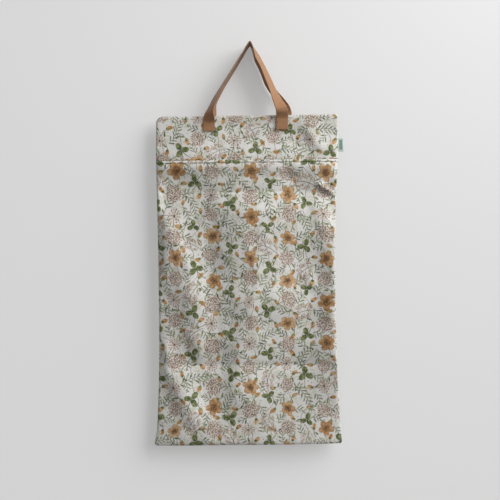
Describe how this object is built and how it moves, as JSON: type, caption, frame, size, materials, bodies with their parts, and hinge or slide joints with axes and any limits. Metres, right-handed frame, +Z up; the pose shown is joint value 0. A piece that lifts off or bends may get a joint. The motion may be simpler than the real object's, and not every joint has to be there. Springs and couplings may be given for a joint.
{
  "type": "hanging diaper laundry bag",
  "caption": "Tall flat cloth bag that hangs by webbing handles, with a yoke, a lapped mouth across the front and a small blank side label.",
  "frame": {"origin": "the point under the top of the handles where the bag hangs", "axes": "+Z up, -Y out of the printed front with the mouth, +X to the right as seen from the front, towards the label"},
  "size_m": [0.4156, 0.0562, 0.885],
  "materials": {
    "printed_cloth": "pale woven cloth with a small botanical print",
    "tan_webbing": "tan cotton webbing, matte",
    "mint_label": "woven mint tape, blank"
  },
  "bodies": {
    "root": {"back_panel": "printed_cloth", "front_panel": "printed_cloth", "yoke_panel": "printed_cloth", "front_handle": "tan_webbing", "back_handle": "tan_webbing", "side_label": "mint_label"}
  },
  "joints": []
}
